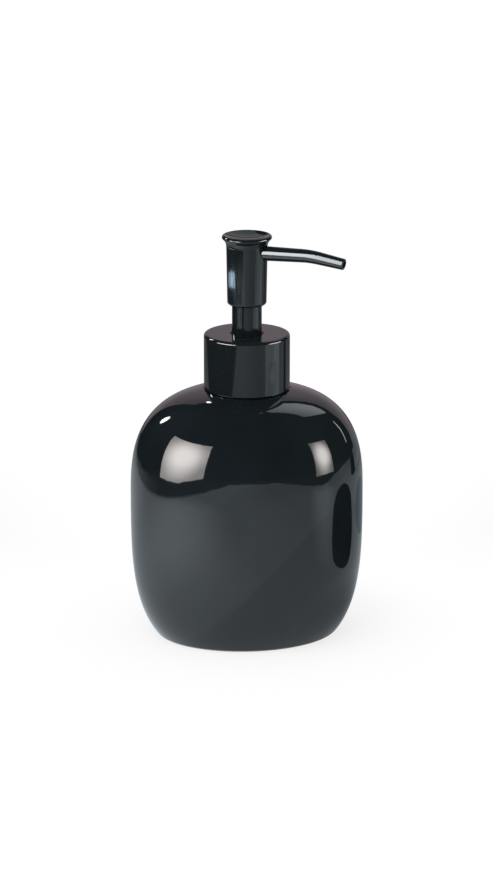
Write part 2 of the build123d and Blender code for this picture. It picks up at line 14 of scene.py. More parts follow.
import bpy
from mathutils import Euler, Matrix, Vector


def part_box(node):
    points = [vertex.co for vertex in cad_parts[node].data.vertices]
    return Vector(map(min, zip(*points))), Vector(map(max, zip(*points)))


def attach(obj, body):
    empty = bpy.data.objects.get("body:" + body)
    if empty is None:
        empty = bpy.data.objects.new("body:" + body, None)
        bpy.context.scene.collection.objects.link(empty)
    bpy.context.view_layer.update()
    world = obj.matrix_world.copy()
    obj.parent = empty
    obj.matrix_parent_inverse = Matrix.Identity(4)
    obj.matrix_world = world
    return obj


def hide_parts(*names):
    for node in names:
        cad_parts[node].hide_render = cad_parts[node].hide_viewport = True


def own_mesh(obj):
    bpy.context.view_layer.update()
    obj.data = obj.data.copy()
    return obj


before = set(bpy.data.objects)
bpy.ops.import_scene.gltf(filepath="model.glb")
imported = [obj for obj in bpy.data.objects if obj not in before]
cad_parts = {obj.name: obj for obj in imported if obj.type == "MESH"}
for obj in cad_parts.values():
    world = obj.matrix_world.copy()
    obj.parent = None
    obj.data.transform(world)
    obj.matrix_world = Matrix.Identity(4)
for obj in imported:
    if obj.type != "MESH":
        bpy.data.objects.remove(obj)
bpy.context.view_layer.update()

MM = 0.001
# Rise of one turn of the screw thread, on the neck and in the collar.
THREAD_LEAD = 4.23 * MM
# Noise textures stay mostly between these two values.
NOISE_LOW = 0.3
NOISE_HIGH = 0.7
# Bearing of the camera about the pump axis, in degrees.
VIEW_AZIMUTH = -9.35

Socket = bpy.types.NodeSocket
Point = tuple[float, float, float]

log = logging.getLogger("soap_dispenser")


def linear(colour: str) -> tuple[float, float, float, float]:
    """Turn an sRGB hex colour into the linear values that shaders take.

    Args:
        colour: Colour as "#rrggbb".

    Returns:
        Linear red, green and blue, with an alpha of 1.
    """
    parts = [int(colour[place:place + 2], 16) / 255 for place in (1, 3, 5)]
    lit = [part / 12.92 if part <= 0.04045 else ((part + 0.055) / 1.055) ** 2.4 for part in parts]
    return lit[0], lit[1], lit[2], 1.0


def add_node(material: bpy.types.Material | bpy.types.World, kind: str,
             links: dict[str | int, Socket] | None = None,
             values: dict[str | int, Any] | None = None, **settings: Any) -> bpy.types.Node:
    """Add one node to a material or world, set it and link it.

    Args:
        material: Material or world whose node tree takes the node.
        kind: Node type, as in "ShaderNodeMath".
        links: Input name or number to the output socket that feeds it.
        values: Input name or number to the constant that it holds.
        settings: Properties of the node itself, such as operation.

    Returns:
        The new node.
    """
    tree = material.node_tree
    node = tree.nodes.new(kind)
    for name, value in settings.items():
        setattr(node, name, value)
    for name, value in (values or {}).items():
        node.inputs[name].default_value = value
    for name, socket in (links or {}).items():
        tree.links.new(socket, node.inputs[name])
    return node


def empty_material(name: str) -> bpy.types.Material:
    """Make a material with an empty node tree.

    Args:
        name: Name of the material.

    Returns:
        The material.
    """
    material = bpy.data.materials.new(name)
    material.use_nodes = True
    material.node_tree.nodes.clear()
    return material


def finish_surface(material: bpy.types.Material, shader: bpy.types.Node) -> bpy.types.Material:
    """Link a shader's first output to the material's surface."""
    add_node(material, "ShaderNodeOutputMaterial", links={"Surface": shader.outputs[0]})
    return material


def per_metre(size_mm: float) -> float:
    """Scale of a noise whose features are about size_mm across on Object coordinates."""
    return 1.0 / (size_mm * MM)


class Slot(Enum):
    """Material slots of the record."""

    GLAZE = "black_glaze"
    GLOSS = "black_gloss_moulding"
    SATIN = "black_moulding"
    MILKY = "natural_polypropylene"
    TUBE = "tube_polyethylene"
    WHITE = "white_polyethylene"
    FOAM = "gasket_foam"
    SPRING = "spring_steel"
    BALL = "ball_steel"


@dataclass(frozen=True)
class BlackGlaze:
    """Stoneware dipped in black gloss glaze: near-black with mirror reflections that waver a little."""

    colour: str = "#14191c"
    thin_colour: str = "#1a2023"
    thin_from: float = 0.35
    thin_to: float = 0.75
    biscuit: str = "#d8cfba"
    biscuit_dark: str = "#a99a80"
    ior: float = 1.52
    smoothest: float = 0.028
    roughest: float = 0.0525
    roughest_at: float = 0.8
    pool_mm: float = 34.0
    ripple_mm: float = 16.0
    ripple_height_mm: float = 0.012
    pinhole_mm: float = 0.9
    grit_height_mm: float = 0.05
    bare_below_mm: float = 0.6
    glazed_above_mm: float = 0.85
    edge_wander_mm: float = 0.35

    def material(self) -> bpy.types.Material:
        """Glaze over the body, and bare biscuit on the ground foot ring and under it.

        Returns:
            The material.
        """
        made = empty_material("black_gloss_glaze")
        place = add_node(made, "ShaderNodeTexCoord").outputs["Object"]
        pools = add_node(made, "ShaderNodeTexNoise", {"Vector": place},
                         {"Scale": per_metre(self.pool_mm), "Detail": 2.0})
        tint = add_node(made, "ShaderNodeValToRGB", {"Fac": pools.outputs["Fac"]})
        tint.color_ramp.elements[0].position = self.thin_from
        tint.color_ramp.elements[0].color = linear(self.colour)
        tint.color_ramp.elements[1].position = self.thin_to
        tint.color_ramp.elements[1].color = linear(self.thin_colour)
        ripple = add_node(made, "ShaderNodeTexNoise", {"Vector": place},
                          {"Scale": per_metre(self.ripple_mm), "Detail": 1.0, "Roughness": 0.4})
        waver = add_node(made, "ShaderNodeBump", {"Height": ripple.outputs["Fac"]},
                         {"Strength": 1.0, "Distance": self.ripple_height_mm * MM})
        pinholes = add_node(made, "ShaderNodeTexNoise", {"Vector": place},
                            {"Scale": per_metre(self.pinhole_mm), "Detail": 0.0})
        sheen = add_node(made, "ShaderNodeMapRange", {"Value": pinholes.outputs["Fac"]},
                         {"From Min": NOISE_LOW, "From Max": self.roughest_at,
                          "To Min": self.smoothest, "To Max": self.roughest})
        glaze = add_node(made, "ShaderNodeBsdfPrincipled",
                         {"Base Color": tint.outputs["Color"], "Roughness": sheen.outputs["Result"],
                          "Normal": waver.outputs["Normal"]}, {"IOR": self.ior})
        grit = add_node(made, "ShaderNodeTexNoise", {"Vector": place},
                        {"Scale": per_metre(self.pinhole_mm), "Detail": 4.0})
        clay = add_node(made, "ShaderNodeValToRGB", {"Fac": grit.outputs["Fac"]})
        clay.color_ramp.elements[0].color = linear(self.biscuit_dark)
        clay.color_ramp.elements[1].color = linear(self.biscuit)
        rough = add_node(made, "ShaderNodeBump", {"Height": grit.outputs["Fac"]},
                         {"Strength": 0.6, "Distance": self.grit_height_mm * MM})
        bare = add_node(made, "ShaderNodeBsdfPrincipled",
                        {"Base Color": clay.outputs["Color"], "Normal": rough.outputs["Normal"]},
                        {"Roughness": 0.85, "IOR": 1.5})
        height = add_node(made, "ShaderNodeSeparateXYZ", {"Vector": place}).outputs["Z"]
        wander = add_node(made, "ShaderNodeMath", {0: ripple.outputs["Fac"], 2: height},
                          {1: self.edge_wander_mm * MM}, operation="MULTIPLY_ADD")
        glazed = add_node(made, "ShaderNodeMapRange", {"Value": wander.outputs[0]},
                          {"From Min": self.bare_below_mm * MM, "From Max": self.glazed_above_mm * MM})
        both = add_node(made, "ShaderNodeMixShader",
                        {0: glazed.outputs["Result"], 1: bare.outputs[0], 2: glaze.outputs[0]})
        return finish_surface(made, both)


@dataclass(frozen=True)
class Moulding:
    """Moulded or extruded plastic: even colour, a slight orange peel, and a grain in its sheen."""

    name: str
    colour: str
    worn_colour: str
    ior: float
    roughness: float
    rough_spread: float
    peel_mm: float
    peel_height_mm: float
    grain_mm: float
    see_through: float = 0.0
    waxy: float = 0.0
    wax_depth_mm: float = 1.5
    worn_at: float = 0.8

    def material(self) -> bpy.types.Material:
        """Plastic surface, clear enough to let light in where see_through says so.

        Returns:
            The material.
        """
        made = empty_material(self.name)
        place = add_node(made, "ShaderNodeTexCoord").outputs["Object"]
        grain = add_node(made, "ShaderNodeTexNoise", {"Vector": place},
                         {"Scale": per_metre(self.grain_mm), "Detail": 3.0})
        tint = add_node(made, "ShaderNodeValToRGB", {"Fac": grain.outputs["Fac"]})
        tint.color_ramp.elements[0].position = NOISE_LOW
        tint.color_ramp.elements[0].color = linear(self.colour)
        tint.color_ramp.elements[1].position = self.worn_at
        tint.color_ramp.elements[1].color = linear(self.worn_colour)
        sheen = add_node(made, "ShaderNodeMapRange", {"Value": grain.outputs["Fac"]},
                         {"From Min": NOISE_LOW, "From Max": NOISE_HIGH, "To Min": self.roughness,
                          "To Max": self.roughness + self.rough_spread})
        peel = add_node(made, "ShaderNodeTexNoise", {"Vector": place},
                        {"Scale": per_metre(self.peel_mm), "Detail": 1.0})
        uneven = add_node(made, "ShaderNodeBump", {"Height": peel.outputs["Fac"]},
                          {"Strength": 1.0, "Distance": self.peel_height_mm * MM})
        shader = add_node(made, "ShaderNodeBsdfPrincipled",
                          {"Base Color": tint.outputs["Color"], "Roughness": sheen.outputs["Result"],
                           "Normal": uneven.outputs["Normal"]},
                          {"IOR": self.ior, "Transmission Weight": self.see_through,
                           "Subsurface Weight": self.waxy, "Subsurface Scale": self.wax_depth_mm * MM})
        return finish_surface(made, shader)


@dataclass(frozen=True)
class FoamWasher:
    """Closed-cell polyethylene foam: pale, matt and finely pitted."""

    colour: str = "#d6d1c2"
    pit_colour: str = "#b7b09c"
    cell_mm: float = 0.35
    pit_depth_mm: float = 0.05

    def material(self) -> bpy.types.Material:
        """Foam with the outlines of its cells.

        Returns:
            The material.
        """
        made = empty_material("closed_cell_foam")
        place = add_node(made, "ShaderNodeTexCoord").outputs["Object"]
        cells = add_node(made, "ShaderNodeTexVoronoi", {"Vector": place},
                         {"Scale": per_metre(self.cell_mm)})
        tint = add_node(made, "ShaderNodeValToRGB", {"Fac": cells.outputs["Distance"]})
        tint.color_ramp.elements[0].color = linear(self.colour)
        tint.color_ramp.elements[1].color = linear(self.pit_colour)
        pits = add_node(made, "ShaderNodeBump", {"Height": cells.outputs["Distance"]},
                        {"Strength": 0.5, "Distance": self.pit_depth_mm * MM})
        shader = add_node(made, "ShaderNodeBsdfPrincipled",
                          {"Base Color": tint.outputs["Color"], "Normal": pits.outputs["Normal"]},
                          {"Roughness": 0.9, "IOR": 1.5})
        return finish_surface(made, shader)


@dataclass(frozen=True)
class StainlessSteel:
    """Stainless steel, drawn through a die or polished: grey metal with fine marks of its making."""

    name: str
    colour: str
    smoothest: float
    roughest: float
    mark_mm: float
    mark_height_mm: float

    def material(self) -> bpy.types.Material:
        """Steel with marks that change its roughness.

        Returns:
            The material.
        """
        made = empty_material(self.name)
        place = add_node(made, "ShaderNodeTexCoord").outputs["Object"]
        marks = add_node(made, "ShaderNodeTexNoise", {"Vector": place},
                         {"Scale": per_metre(self.mark_mm), "Detail": 3.0})
        sheen = add_node(made, "ShaderNodeMapRange", {"Value": marks.outputs["Fac"]},
                         {"From Min": NOISE_LOW, "From Max": NOISE_HIGH,
                          "To Min": self.smoothest, "To Max": self.roughest})
        scored = add_node(made, "ShaderNodeBump", {"Height": marks.outputs["Fac"]},
                          {"Strength": 0.5, "Distance": self.mark_height_mm * MM})
        shader = add_node(made, "ShaderNodeBsdfPrincipled",
                          {"Roughness": sheen.outputs["Result"], "Normal": scored.outputs["Normal"]},
                          {"Base Color": linear(self.colour), "Metallic": 1.0})
        return finish_surface(made, shader)


FINISHES: dict[Slot, BlackGlaze | Moulding | FoamWasher | StainlessSteel] = {
    Slot.GLAZE: BlackGlaze(),
    # ABS from a polished mould: black, with clear reflections. Its IOR is matched to their tone.
    Slot.GLOSS: Moulding("polished_black_abs", "#13181a", "#1a1f22", ior=1.41, roughness=0.032,
                         rough_spread=0.006, peel_mm=3.0, peel_height_mm=0.00003, grain_mm=1.2),
    # Polypropylene from an etched mould: black, with a dull sheen.
    Slot.SATIN: Moulding("satin_black_polypropylene", "#15191b", "#1e2224", ior=1.49, roughness=0.38,
                         rough_spread=0.12, peel_mm=0.8, peel_height_mm=0.006, grain_mm=0.5),
    # Moulded polypropylene without dye: milky, so that light shows through it.
    Slot.MILKY: Moulding("undyed_polypropylene", "#e6e9e4", "#f1f3ef", ior=1.49, roughness=0.32,
                         rough_spread=0.08, peel_mm=2.0, peel_height_mm=0.004, grain_mm=1.5,
                         see_through=0.45),
    # Extruded polyethylene without dye: a smooth tube that is clearer than the moulded pieces.
    Slot.TUBE: Moulding("extruded_polyethylene", "#e9ebe7", "#f3f4f1", ior=1.51, roughness=0.28,
                        rough_spread=0.08, peel_mm=4.0, peel_height_mm=0.004, grain_mm=2.0,
                        see_through=0.55),
    # Moulded polyethylene: white and waxy, with light that spreads under its surface.
    Slot.WHITE: Moulding("waxy_polyethylene", "#e8e7e0", "#f2f1ec", ior=1.51, roughness=0.42,
                         rough_spread=0.08, peel_mm=1.2, peel_height_mm=0.004, grain_mm=0.8, waxy=0.3),
    Slot.FOAM: FoamWasher(),
    # Wire from a die: grey metal with a soft shine.
    Slot.SPRING: StainlessSteel("drawn_steel_wire", "#b4b7ba", smoothest=0.168, roughest=0.336,
                                mark_mm=0.3, mark_height_mm=0.004),
    # Ground and polished ball: bright metal.
    Slot.BALL: StainlessSteel("polished_steel_ball", "#c9cccf", smoothest=0.042, roughest=0.084,
                              mark_mm=1.0, mark_height_mm=0.0005),
}
MATERIALS: dict[Slot, bpy.types.Material] = {}


def material_for(slot: Slot) -> bpy.types.Material:
    """Material of a slot, made the first time that it is asked for.

    Args:
        slot: Material slot of the record.

    Returns:
        The material.
    """
    if slot not in MATERIALS:
        MATERIALS[slot] = FINISHES[slot].material()
    return MATERIALS[slot]


def dress(node: str, slot: Slot) -> None:
    """Give a solid of the frame its finish.

    Args:
        node: Name of the solid's node.
        slot: Material slot that it has in the record.
    """
    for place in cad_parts[node].material_slots:
        place.material = material_for(slot)
    log.info("%s: %s", node, slot.value)


def deselect_all() -> None:
    """Leave edit mode and select nothing."""
    if bpy.context.object and bpy.context.object.mode != "OBJECT":
        bpy.ops.object.mode_set(mode="OBJECT")
    bpy.ops.object.select_all(action="DESELECT")


def upright_ring(name: str, corners: int, radius: float,
                 centre: tuple[float, float]) -> bpy.types.Object:
    """Add a ring of edges that stands upright in the XZ plane, as the section of a wound piece.

    Args:
        name: Name of the piece.
        corners: Number of corners of the ring.
        radius: Distance from the ring's centre to its corners.
        centre: Distance from the pump axis, and height.

    Returns:
        The new object, with its place in its mesh.
    """
    deselect_all()
    bpy.ops.mesh.primitive_circle_add(vertices=corners, radius=radius, fill_type="NOTHING",
                                      location=(centre[0], 0.0, centre[1]),
                                      rotation=(math.pi / 2, 0.0, 0.0))
    piece = bpy.context.object
    piece.name = name
    bpy.ops.object.transform_apply(location=True, rotation=True, scale=True)
    return piece


def wind(piece: bpy.types.Object, turns: float, lead: float, steps_per_turn: int) -> None:
    """Wind a section about the pump axis into a right-handed helix.

    Args:
        piece: Section that stands in the XZ plane.
        turns: Number of turns.
        lead: Rise of one turn.
        steps_per_turn: Number of copies of the section in a turn.
    """
    screw = piece.modifiers.new("winding", "SCREW")
    screw.angle = 2 * math.pi * turns
    screw.screw_offset = lead * turns
    screw.steps = round(steps_per_turn * turns)
    screw.render_steps = screw.steps
    bpy.context.view_layer.objects.active = piece
    bpy.ops.object.modifier_apply(modifier=screw.name)


def close_and_smooth(piece: bpy.types.Object, crease_degrees: float) -> None:
    """Close the open ends of a wound piece, turn its faces outwards and smooth it.

    Args:
        piece: Wound piece.
        crease_degrees: Edges sharper than this stay sharp.
    """
    deselect_all()
    piece.select_set(True)
    bpy.context.view_layer.objects.active = piece
    bpy.ops.object.mode_set(mode="EDIT")
    bpy.ops.mesh.select_all(action="SELECT")
    bpy.ops.mesh.remove_doubles(threshold=0.001 * MM)
    bpy.ops.mesh.fill_holes(sides=0)
    bpy.ops.mesh.select_all(action="SELECT")
    bpy.ops.mesh.normals_make_consistent(inside=False)
    bpy.ops.object.mode_set(mode="OBJECT")
    bpy.ops.object.shade_smooth_by_angle(angle=math.radians(crease_degrees))


def hand_over(piece: bpy.types.Object, slot: Slot, body: str) -> None:
    """Give a new piece its finish and the body that it moves with.

    Args:
        piece: The new piece.
        slot: Material slot of the record that it takes its finish from.
        body: Name of the body.
    """
    piece.data.materials.clear()
    piece.data.materials.append(material_for(slot))
    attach(piece, body)
    log.info("%s rides on %s: %s", piece.name, body, slot.value)


@dataclass
class ScrewThread:
    """Ridge of a screw thread, wound on a neck or in a cap, that runs out at both ends.

    A cap's ridge has its crest nearer to the axis than its root.
    """

    name: str
    root_radius: float
    crest_radius: float
    bottom: float
    turns: float
    root_width: float
    crest_width: float
    lead: float = THREAD_LEAD
    sink: float = 0.1 * MM
    steps_per_turn: int = 60
    run_out_turns: float = 0.12
    crease_degrees: float = 25.0

    def build(self) -> bpy.types.Object:
        """Wind the ridge.

        Returns:
            The ridge as a closed mesh.
        """
        piece = upright_ring(self.name, 4, self.root_width, (self.root_radius, self.bottom))
        sunk = self.root_radius + math.copysign(self.sink, self.root_radius - self.crest_radius)
        section = [(sunk, -self.root_width / 2), (self.crest_radius, -self.crest_width / 2),
                   (self.crest_radius, self.crest_width / 2), (sunk, self.root_width / 2)]
        for corner, (radius, rise) in zip(piece.data.vertices, section):
            corner.co = (radius, 0.0, self.bottom + rise)
        wind(piece, self.turns, self.lead, self.steps_per_turn)
        self.run_out(piece, sunk)
        close_and_smooth(piece, self.crease_degrees)
        return piece

    def run_out(self, piece: bpy.types.Object, sunk: float) -> None:
        """Sink the first and last stretch of the ridge into what carries it.

        Args:
            piece: Wound ridge.
            sunk: Radius of the ridge's foot.
        """
        for corner in piece.data.vertices:
            across = Vector((corner.co.x, corner.co.y, 0.0))
            turn = (corner.co.z - self.bottom) / (self.lead * self.turns)
            to_end = min(turn, 1 - turn) * self.turns / self.run_out_turns
            share = max(0.0, min(1.0, to_end))
            radius = sunk + (across.length - sunk) * share
            corner.co.x *= radius / across.length
            corner.co.y *= radius / across.length


@dataclass
class WoundSpring:
    """Compression spring of round wire, with a closed turn at each end."""

    turns: int = 9
    closed_turns: float = 1.0
    end_gap: float = 0.5 * MM
    wire: float = 0.9 * MM
    wire_corners: int = 14
    steps_per_turn: int = 40
    crease_degrees: float = 60.0
    stroke: float = 10.0 * MM

    def height_at(self, turn: float, length: float) -> float:
        """Height of the wire's centre above the lowest one.

        Args:
            turn: Number of turns from the lower end.
            length: Length of the spring over its wire.

        Returns:
            Height above the wire's lower end.
        """
        closed_lead = self.wire + self.end_gap
        closed_rise = closed_lead * self.closed_turns
        open_turns = self.turns - 2 * self.closed_turns
        open_lead = (length - self.wire - 2 * closed_rise) / open_turns
        above_foot = min(max(turn - self.closed_turns, 0.0), open_turns)
        in_closed = turn - above_foot
        return closed_lead * in_closed + open_lead * above_foot

    def build(self) -> bpy.types.Object:
        """Wind the spring where its solid is, and put it in the solid's place.

        Returns:
            The spring as a closed mesh.
        """
        low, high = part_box("return_spring")
        length = high.z - low.z
        coil_radius = (high.x - low.x - self.wire) / 2
        base = low.z + self.wire / 2
        even_lead = (length - self.wire) / self.turns
        piece = upright_ring("wound_spring", self.wire_corners, self.wire / 2, (coil_radius, base))
        rises = [corner.co.z - base for corner in piece.data.vertices]
        wind(piece, self.turns, even_lead, self.steps_per_turn)
        steps = self.turns * self.steps_per_turn
        for index, corner in enumerate(piece.data.vertices):
            step, part = divmod(index, self.wire_corners)
            corner.co.z = base + rises[part] + self.height_at(self.turns * step / steps, length)
        close_and_smooth(piece, self.crease_degrees)
        hand_over(piece, Slot.SPRING, "pump")
        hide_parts("return_spring")
        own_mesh(piece)
        return piece


@dataclass
class BottleAssembly:
    """Glazed bottle with the threaded ring that is bonded into its mouth."""

    thread_root: float = 12.5 * MM
    thread_depth: float = 1.15 * MM
    thread_turns: float = 1.9
    ridge_foot: float = 2.0 * MM
    ridge_crest: float = 0.7 * MM
    flange_clear: float = 3.4 * MM

    def build(self) -> None:
        """Dress the solids and wind the neck's thread."""
        dress("bottle", Slot.GLAZE)
        dress("neck_ring", Slot.SATIN)
        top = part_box("neck_ring")[1].z
        ridge = ScrewThread("neck_thread", root_radius=self.thread_root,
                            crest_radius=self.thread_root + self.thread_depth,
                            bottom=top - self.flange_clear - THREAD_LEAD * self.thread_turns,
                            turns=self.thread_turns, root_width=self.ridge_foot,
                            crest_width=self.ridge_crest).build()
        hand_over(ridge, Slot.SATIN, "bottle")


@dataclass
class CollarAssembly:
    """Collar: polished cover over a threaded closure, with the washer in it."""

    bore: float = 14.0 * MM
    thread_depth: float = 1.1 * MM
    thread_turns: float = 1.6
    ridge_foot: float = 1.9 * MM
    ridge_crest: float = 0.7 * MM
    mouth_clear: float = 2.0 * MM

    def build(self) -> None:
        """Dress the solids and wind the thread inside the closure."""
        dress("collar_shell", Slot.GLOSS)
        dress("closure", Slot.SATIN)
        dress("sealing_gasket", Slot.FOAM)
        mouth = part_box("closure")[0].z
        ridge = ScrewThread("closure_thread", root_radius=self.bore,
                            crest_radius=self.bore - self.thread_depth,
                            bottom=mouth + self.mouth_clear, turns=self.thread_turns,
                            root_width=self.ridge_foot, crest_width=self.ridge_crest).build()
        hand_over(ridge, Slot.SATIN, "collar")


@dataclass
class PumpAssembly:
    """Pump body: milky cylinder with its valve and tube, black guide, white plunger and the spring."""

    spring: WoundSpring = field(default_factory=WoundSpring)

    def build(self) -> None:
        """Dress the solids and wind the spring."""
        dress("pump_cylinder", Slot.MILKY)
        dress("valve_cage", Slot.MILKY)
        dress("dip_tube", Slot.TUBE)
        dress("inlet_ball", Slot.BALL)
        dress("stem_guide", Slot.GLOSS)
        for node in ("piston", "plunger_stem", "stem_plug"):
            dress(node, Slot.WHITE)
        self.spring.build()


@dataclass
class HeadAssembly:
    """Pump head: polished sleeve with a dished top, its inner core and the bent spout."""

    def build(self) -> None:
        """Dress the solids."""
        dress("head_shell", Slot.GLOSS)
        dress("spout", Slot.GLOSS)
        dress("actuator_core", Slot.SATIN)


INSIDE = ("pump_cylinder", "valve_cage", "dip_tube", "plunger_stem", "piston")


class Mirror(Enum):
    """Solids that mirror a studio sheet and so show its painted highlight; the others see through it.
    """

    ALL = ()
    BOTTLE = ("bottle", *INSIDE)
    ALL_BUT_HEAD = ("bottle", "collar_shell", "stem_guide", "spout")
    PUMP_EDGES = ("collar_shell", "head_shell")
    PUMP = ("collar_shell", "stem_guide", "head_shell")
    NECK = ("stem_guide",)
    HEAD = ("head_shell",)
    SPOUT = ("spout",)


@dataclass(frozen=True)
class Card:
    """Glowing sheet of the studio that only reflections show and that lights nothing: a painted
    highlight or reflection.

    Its glow falls off from the middle, by the share edge_fade at the rim, and to left_share of
    itself at the left edge. The field middle is the height of its brightest spot, as a share.
    Corners are pairs of a bearing about the pump axis, in degrees (0 towards the viewer, + to the
    right), and an elevation or distance: low or near left and right, then high or far left and right.
    """

    name: str
    colour: str
    strength: float
    edge_fade: float
    mirror: Mirror
    corners: tuple[tuple[float, float], ...]
    left_share: float = field(default=1.0, kw_only=True)
    middle: float = field(default=0.5, kw_only=True)

    def pair_at(self, across: float, up: float) -> Vector:
        """Bearing of a point of the sheet, and its elevation or distance.

        Args:
            across: Share of the way from its left edge to its right edge.
            up: Share of the way from its low or near edge to the other one.

        Returns:
            The two numbers.
        """
        low_left, low_right, high_left, high_right = (Vector(corner) for corner in self.corners)
        low = low_left.lerp(low_right, across)
        high = high_left.lerp(high_right, across)
        return low.lerp(high, up)

    def spot(self, across: float, up: float) -> Vector:
        """Place of a point of the sheet, which each kind of sheet gives."""
        raise NotImplementedError


@dataclass(frozen=True)
class SoftLight(Card):
    """Painted reflection of a soft light or backdrop around the object, whose corners have elevations,
    in degrees.
    """

    distance: float = 1.0
    eye_height: float = 70.0 * MM

    def spot(self, across: float, up: float) -> Vector:
        """Place of a point of the sheet.

        Args:
            across: Share of the way from its left edge to its right edge.
            up: Share of the way from its low edge to its high edge.

        Returns:
            The point in the frame.
        """
        bearing, elevation = (math.radians(part) for part in self.pair_at(across, up))
        level = self.distance * math.cos(elevation)
        return Vector((level * math.sin(bearing), -level * math.cos(bearing),
                       self.eye_height + self.distance * math.sin(elevation)))


@dataclass(frozen=True)
class FloorGlow(Card):
    """Painted patch of light on the floor, seen only in reflections, whose corners have distances from
    the pump axis.
    """

    height: float = 0.5 * MM

    def spot(self, across: float, up: float) -> Vector:
        """Place of a point of the patch.

        Args:
            across: Share of the way from its left edge to its right edge.
            up: Share of the way from its near edge to its far edge.

        Returns:
            The point in the frame.
        """
        bearing, radius = self.pair_at(across, up)
        turn = math.radians(bearing)
        return Vector((radius * math.sin(turn), -radius * math.cos(turn), self.height))


# Each sheet below glows only in reflections and lights nothing. Each one, lamp, softbox, strip or
# backdrop alike, is a painted highlight or painted reflection on the solids of its mirror.
CARDS: tuple[Card, ...] = (
    SoftLight("left_softbox", "#fff9f6", 16.5, 0.72, Mirror.BOTTLE,
              ((-89, -11.5), (-40.5, 0), (-91, 34.5), (-37.5, 34)), distance=0.7, middle=0.56),
    SoftLight("right_softbox", "#fff9f6", 13.0, 0.85, Mirror.BOTTLE,
              ((57, -4), (78, -4), (58, 26), (79, 22))),
    SoftLight("left_low_strip", "#fff9f6", 42.0, 0.6, Mirror.PUMP_EDGES,
              ((-95, -6), (-38, -6), (-95, 9), (-38, 9))),
    SoftLight("right_low_strip", "#fff9f6", 32.0, 0.6, Mirror.PUMP_EDGES,
              ((50, -6), (92, -6), (50, 8), (92, 8))),
    SoftLight("edge_lamp", "#ffffff", 40.0, 0.2, Mirror.PUMP,
              ((-134, 20), (-126, 20), (-134, 36), (-126, 36)), distance=1.2),
    SoftLight("low_backdrop", "#b5a7ae", 1.0, 0.15, Mirror.ALL,
              ((126, -3), (200, -3), (129, 22), (199, 21)), distance=1.4),
    SoftLight("high_backdrop", "#b5a7ae", 1.0, 0.15, Mirror.ALL_BUT_HEAD,
              ((129, 22), (199, 21), (156, 50), (198, 46)), distance=1.4),
    SoftLight("spout_strip", "#f7fbff", 25.0, 0.3, Mirror.SPOUT,
              ((-75, -6), (-42, -6), (-75, 27), (-42, 70))),
    SoftLight("head_board", "#c2cfca", 0.95, 0.2, Mirror.HEAD,
              ((126, 24), (180, 24), (120, 62), (180, 62)), distance=1.5),
    SoftLight("ceiling_board", "#c8cdd2", 3.4, 0.2, Mirror.ALL_BUT_HEAD,
              ((102, 52), (126, 30), (128, 78), (148, 51)), distance=1.6, left_share=0.65),
    SoftLight("left_lamp", "#ffffff", 55.0, 1.0, Mirror.BOTTLE,
              ((-139.5, 26), (-132, 26), (-139.5, 37), (-132, 37)), distance=1.2),
    SoftLight("rear_lamp", "#ffffff", 60.0, 1.0, Mirror.BOTTLE,
              ((-173.2, 46), (-170.8, 46), (-173.2, 49), (-170.8, 49)), distance=1.2),
    SoftLight("right_strip", "#ffffff", 5.0, 0.4, Mirror.BOTTLE,
              ((110, 5), (111.5, 5), (115, 24), (116.5, 24)), distance=1.2),
    # Painted pools of light on the floor, each mirrored only by the solids named with it.
    FloorGlow("head_left_pool", "#e8f7ff", 1.2, 0.85, Mirror.HEAD,
              ((-95, 0.44), (-20, 0.44), (-95, 0.58), (-20, 0.58))),
    FloorGlow("neck_left_pool", "#e8f7ff", 2.6, 0.6, Mirror.NECK,
              ((-92, 0.42), (-46, 0.42), (-92, 0.64), (-46, 0.64))),
    FloorGlow("right_pool", "#e8f7ff", 1.5, 0.5, Mirror.PUMP,
              ((40, 0.34), (86, 0.34), (40, 0.72), (86, 0.72))),
    FloorGlow("spout_pool", "#e8f7ff", 1.3, 0.3, Mirror.SPOUT,
              ((-85, 0.10), (-42, 0.10), (-85, 1.1), (-42, 1.1))),
    FloorGlow("right_band", "#e8f7ff", 0.55, 1.0, Mirror.BOTTLE,
              ((48, 0.12), (76, 0.12), (49, 0.45), (76, 0.45))),
    FloorGlow("left_rim_pool", "#edf3ff", 0.32, 1.0, Mirror.BOTTLE,
              ((-175, 0.08), (-90, 0.08), (-175, 0.68), (-90, 0.68))),
    FloorGlow("far_right_pool", "#dfe9f2", 0.28, 0.3, Mirror.BOTTLE,
              ((112, 0.40), (150, 0.40), (112, 1.5), (150, 1.5))),
    # Painted bluish highlight on the left of the head, which only the head mirrors.
    FloorGlow("window_patch", "#a9c2d9", 32.0, 0.1, Mirror.HEAD,
              ((-140, 0.556), (-81, 0.528), (-140, 0.590), (-81, 0.560)), left_share=0.14),
)
# Distances from a sheet's brightest spot, as shares of its sides, between which its glow falls off.
FADE_FROM = 0.1
FADE_TO = 0.62


@dataclass(frozen=True)
class Flag:
    """Dome on the floor on the right, seen only in reflections: a painted dark or grey reflection on
    that side of the gloss.
    """

    name: str
    colour: str
    spot: Point
    radii: Point


ROOM_COLOUR = "#090b0c"
# Painted reflections: two dark domes and one glowing grey dome, which block no light.
FLAGS: tuple[Flag, ...] = (
    Flag("black_flag", ROOM_COLOUR, (0.146, -0.016, 0.012), (0.040, 0.038, 0.028)),
    Flag("edge_flag", ROOM_COLOUR, (0.358, 0.133, 0.000), (0.036, 0.036, 0.080)),
    Flag("grey_flag", "#87999e", (0.165, 0.125, 0.000), (0.055, 0.055, 0.010)),
)


def even_glow(name: str, colour: str) -> bpy.types.Material:
    """Glow that is the same all over.

    Args:
        name: Name of the material.
        colour: Colour of the glow.

    Returns:
        The material.
    """
    made = empty_material(name)
    return finish_surface(made, add_node(made, "ShaderNodeEmission",
                                         values={"Color": linear(colour), "Strength": 1.0}))


